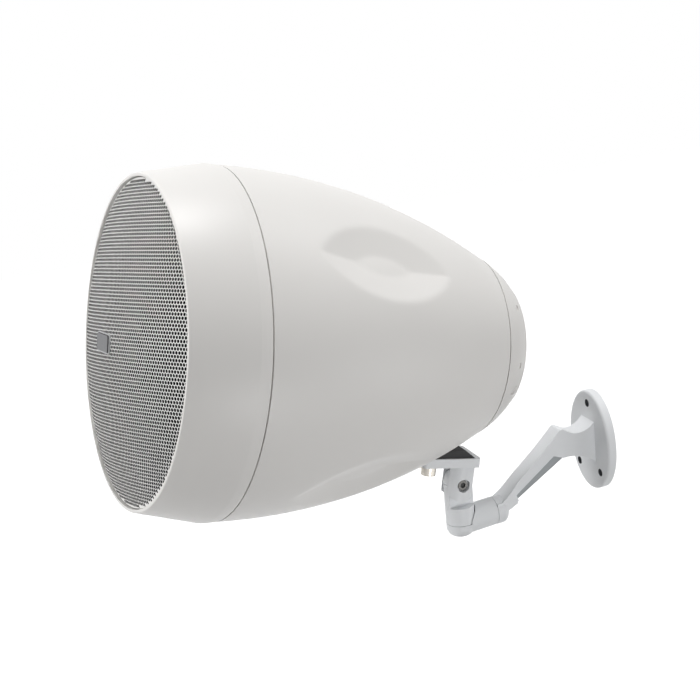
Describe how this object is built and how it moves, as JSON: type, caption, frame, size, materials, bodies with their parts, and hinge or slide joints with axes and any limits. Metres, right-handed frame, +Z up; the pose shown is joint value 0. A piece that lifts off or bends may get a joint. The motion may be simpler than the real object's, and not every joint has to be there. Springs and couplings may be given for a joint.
{
  "type": "projection speaker",
  "caption": "Bullet-shaped sound projector with a dimpled plastic shell, domed grille and full-range driver, on a cast wall bracket that tilts, pans and swivels.",
  "frame": {"origin": "centre of the back of the wall plate, on the wall", "axes": "+Y into the wall, the room towards -Y, +Z up, +X to the right of someone who faces the wall"},
  "size_m": [0.226, 0.348, 0.2873],
  "materials": {
    "housing_plastic": "moulded ABS, warm white, fine satin grain",
    "grille_paint": "perforated steel sheet, white powder coat",
    "badge_plastic": "moulded white plastic, plain face",
    "bracket_paint": "die casting with a light grey powder coat",
    "black_rubber": "matt moulded rubber",
    "black_cloth": "thin acoustic cloth",
    "nickel_steel": "nickel-plated steel, slightly warm",
    "zinc_steel": "zinc-plated steel",
    "insert_brass": "knurled brass",
    "baffle_board": "fibreboard",
    "basket_paint": "pressed steel, black",
    "cone_paper": "pressed paper pulp",
    "surround_rubber": "soft roll surround",
    "copper_winding": "enamelled copper wire",
    "ferrite": "sintered ferrite, ground faces",
    "core_steel": "stacked steel laminations",
    "gland_plastic": "nylon, light grey",
    "terminal_plastic": "moulded ivory plastic"
  },
  "bodies": {
    "arm": {"wall_arm": "bracket_paint", "swivel_screw": "zinc_steel"},
    "elbow": {"elbow": "bracket_paint"},
    "post": {"clevis_post": "bracket_paint", "pan_screw": "zinc_steel"},
    "head": {"rear_shell": "housing_plastic", "front_bezel": "housing_plastic", "rear_cap": "housing_plastic", "grille": "grille_paint", "badge": "badge_plastic", "head_clevis": "bracket_paint", "saddle_pad": "black_rubber", "bezel_gasket": "black_rubber", "cap_gasket": "black_rubber", "grille_scrim": "black_cloth", "mount_screws": "nickel_steel", "pivot_bolt": "nickel_steel", "pivot_nut": "nickel_steel", "bezel_screws": "zinc_steel", "driver_screws": "zinc_steel", "cap_screws": "zinc_steel", "transformer_screws": "zinc_steel", "pivot_washers": "zinc_steel", "driver_top_plate": "zinc_steel", "driver_yoke": "zinc_steel", "transformer_clips": "zinc_steel", "mount_inserts": "insert_brass", "baffle": "baffle_board", "driver_basket": "basket_paint", "driver_cone": "cone_paper", "whizzer_cone": "cone_paper", "dust_cap": "cone_paper", "spider": "cone_paper", "driver_surround": "surround_rubber", "voice_coil": "copper_winding", "transformer_coil": "copper_winding", "driver_magnet": "ferrite", "transformer_core": "core_steel", "cable_gland": "gland_plastic", "gland_nut": "gland_plastic", "terminal_block": "terminal_plastic"}
  },
  "joints": [
    {"name": "swivel", "type": "hinge", "parent": "arm", "child": "elbow", "pos_m": [0, -0.085, -0.0335], "axis": [0, 1, 0], "range_deg": [-90, 90]},
    {"name": "pan", "type": "hinge", "parent": "elbow", "child": "post", "pos_m": [0, -0.11, -0.035], "axis": [0, 0, 1], "range_deg": [-80, 80]},
    {"name": "tilt", "type": "hinge", "parent": "post", "child": "head", "pos_m": [0, -0.11, -0.0056], "axis": [1, 0, 0], "range_deg": [-20, 40]}
  ]
}
